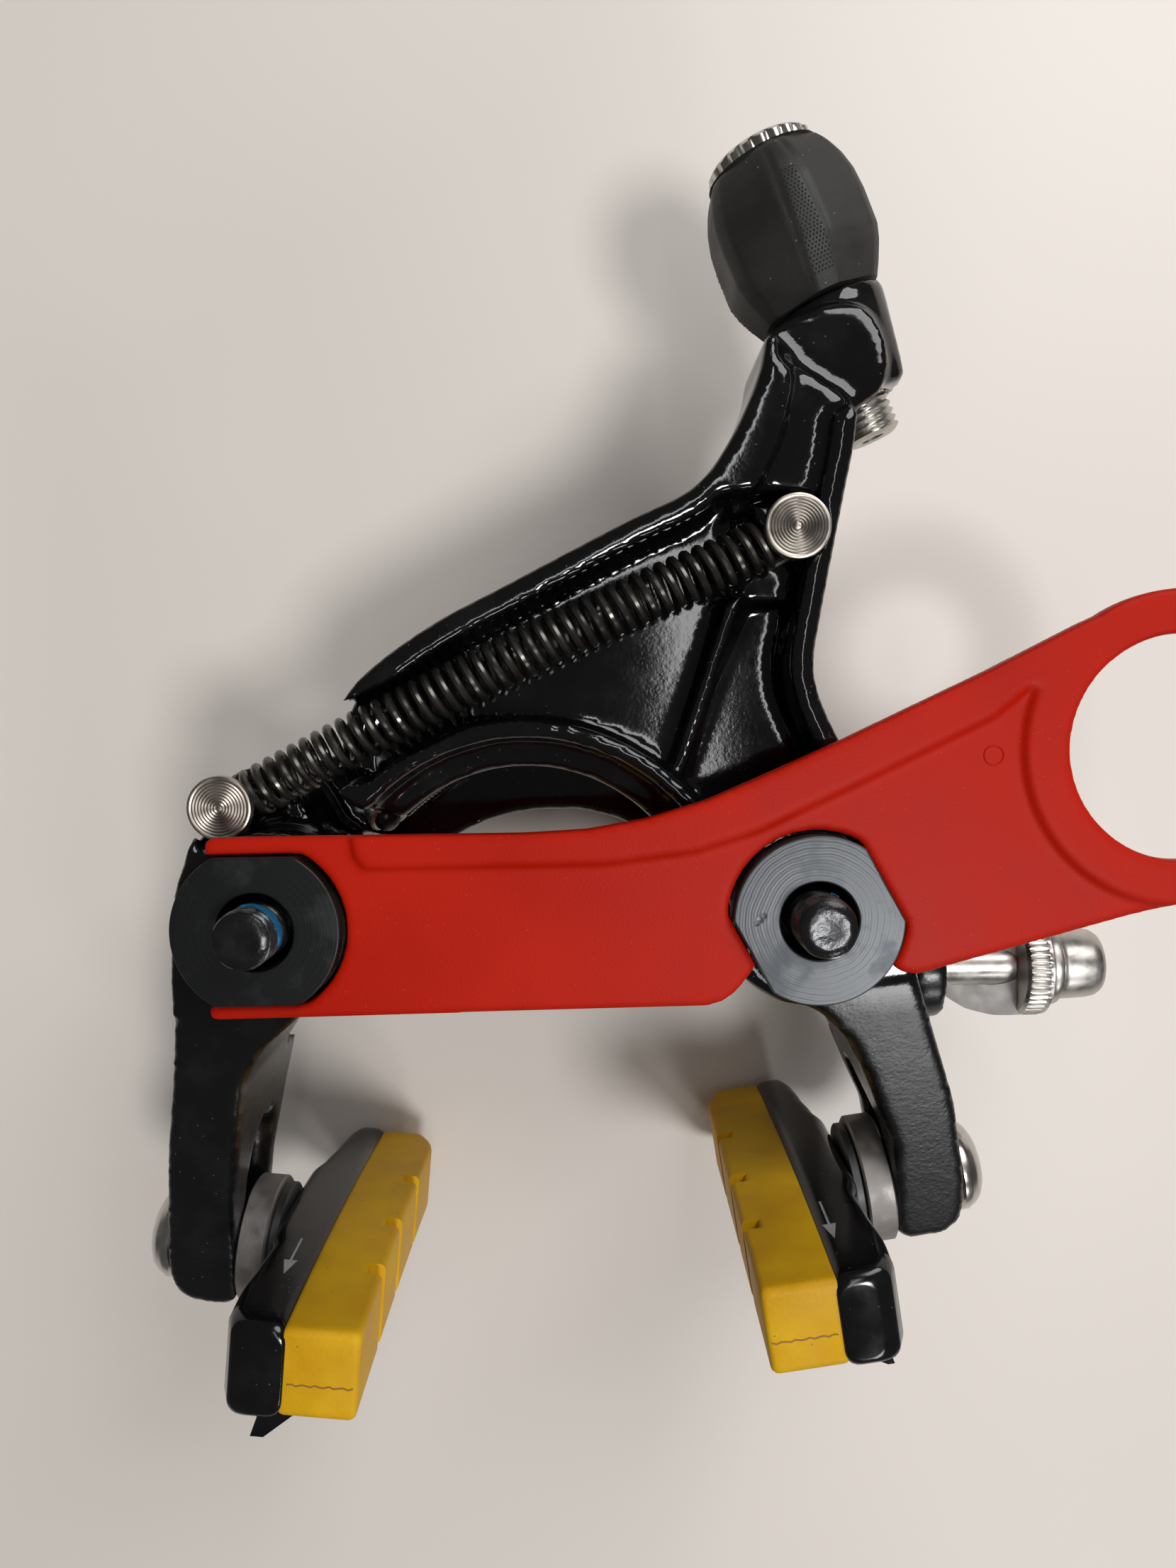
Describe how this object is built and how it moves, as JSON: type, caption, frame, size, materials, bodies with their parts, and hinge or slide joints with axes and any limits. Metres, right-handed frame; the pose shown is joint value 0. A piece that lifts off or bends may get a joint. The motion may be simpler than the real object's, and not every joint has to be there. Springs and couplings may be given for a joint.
{
  "type": "direct mount rim brake",
  "caption": "Dual pivot rim brake on a bridge of two mounting bolts, with barrel adjuster, cable anchor, return spring, swivelling shoes and a fitting clip.",
  "frame": {"origin": "midway between the two mounting bolts, in the plane of the mounting faces that meet the frame", "axes": "+Z along the mounting bolts towards the bicycle frame, +X from the cable-anchor arm's pivot to the adjuster arm's pivot, +Y from the brake shoes up to the barrel adjuster"},
  "size_m": [0.1273, 0.1322, 0.0543],
  "materials": {
    "clip_plastic": "fine-grained moulded red plastic",
    "black_steel": "black oxide",
    "dark_anodised": "dark grey anodised, turned",
    "plain_steel": "plain machined steel",
    "turned_steel": "turned stainless steel",
    "polished_steel": "polished",
    "spring_steel": "blackened spring wire",
    "dish_alloy": "satin grey",
    "black_paint": "gloss black paint over forged alloy",
    "holder_paint": "gloss black paint over alloy",
    "bearing_plastic": "plain bearing liner",
    "pad_rubber": "yellow brake compound",
    "knob_rubber": "matte black rubber"
  },
  "bodies": {
    "pivots": {"mounting_clip": "clip_plastic", "left_mount_bolt": "black_steel", "right_mount_bolt": "black_steel", "left_bushing": "dark_anodised", "right_bushing": "dark_anodised", "left_front_washer": "plain_steel", "right_front_washer": "plain_steel"},
    "adjuster_side": {"right_arm": "black_paint", "right_bearing": "bearing_plastic", "right_spring_pin": "turned_steel", "return_spring": "spring_steel", "centring_screw": "plain_steel", "link_pin": "turned_steel", "right_pad_bolt": "plain_steel", "right_inner_dish": "dish_alloy", "right_outer_dish": "dish_alloy", "right_holder": "holder_paint", "right_pad": "pad_rubber", "right_pad_screw": "plain_steel"},
    "anchor_side": {"left_arm": "black_paint", "left_bearing": "bearing_plastic", "left_spring_pin": "turned_steel", "left_pad_bolt": "plain_steel", "left_inner_dish": "dish_alloy", "left_outer_dish": "dish_alloy", "left_holder": "holder_paint", "left_pad": "pad_rubber", "left_pad_screw": "plain_steel", "anchor_bolt": "plain_steel", "anchor_body": "polished_steel", "anchor_ring": "plain_steel", "anchor_collar": "plain_steel"},
    "adjuster": {"adjuster_barrel": "plain_steel", "adjuster_knob": "knob_rubber", "adjuster_seat": "polished_steel"}
  },
  "joints": [
    {"name": "adjuster_side_pivot", "type": "hinge", "parent": "pivots", "child": "adjuster_side", "pos_m": [0.028, 0, -0.014], "axis": [0, 0, 1], "range_deg": [-12, 0], "stiffness_Nm_per_rad": 0.8, "springref_deg": 22.92, "deforming": ["return_spring"]},
    {"name": "anchor_side_pivot", "type": "hinge", "parent": "pivots", "child": "anchor_side", "pos_m": [-0.028, 0, -0.014], "axis": [0, 0, 1], "range_deg": [0, 12], "stiffness_Nm_per_rad": 0.8, "springref_deg": -22.92},
    {"name": "adjuster_turn", "type": "hinge", "parent": "adjuster_side", "child": "adjuster", "pos_m": [0.032, 0.0646, -0.016], "axis": [-0.3746, 0.9272, 0], "continuous": true}
  ],
  "couplings": [
    {"joint": "anchor_side_pivot", "follows": "adjuster_side_pivot", "ratio": -1}
  ]
}
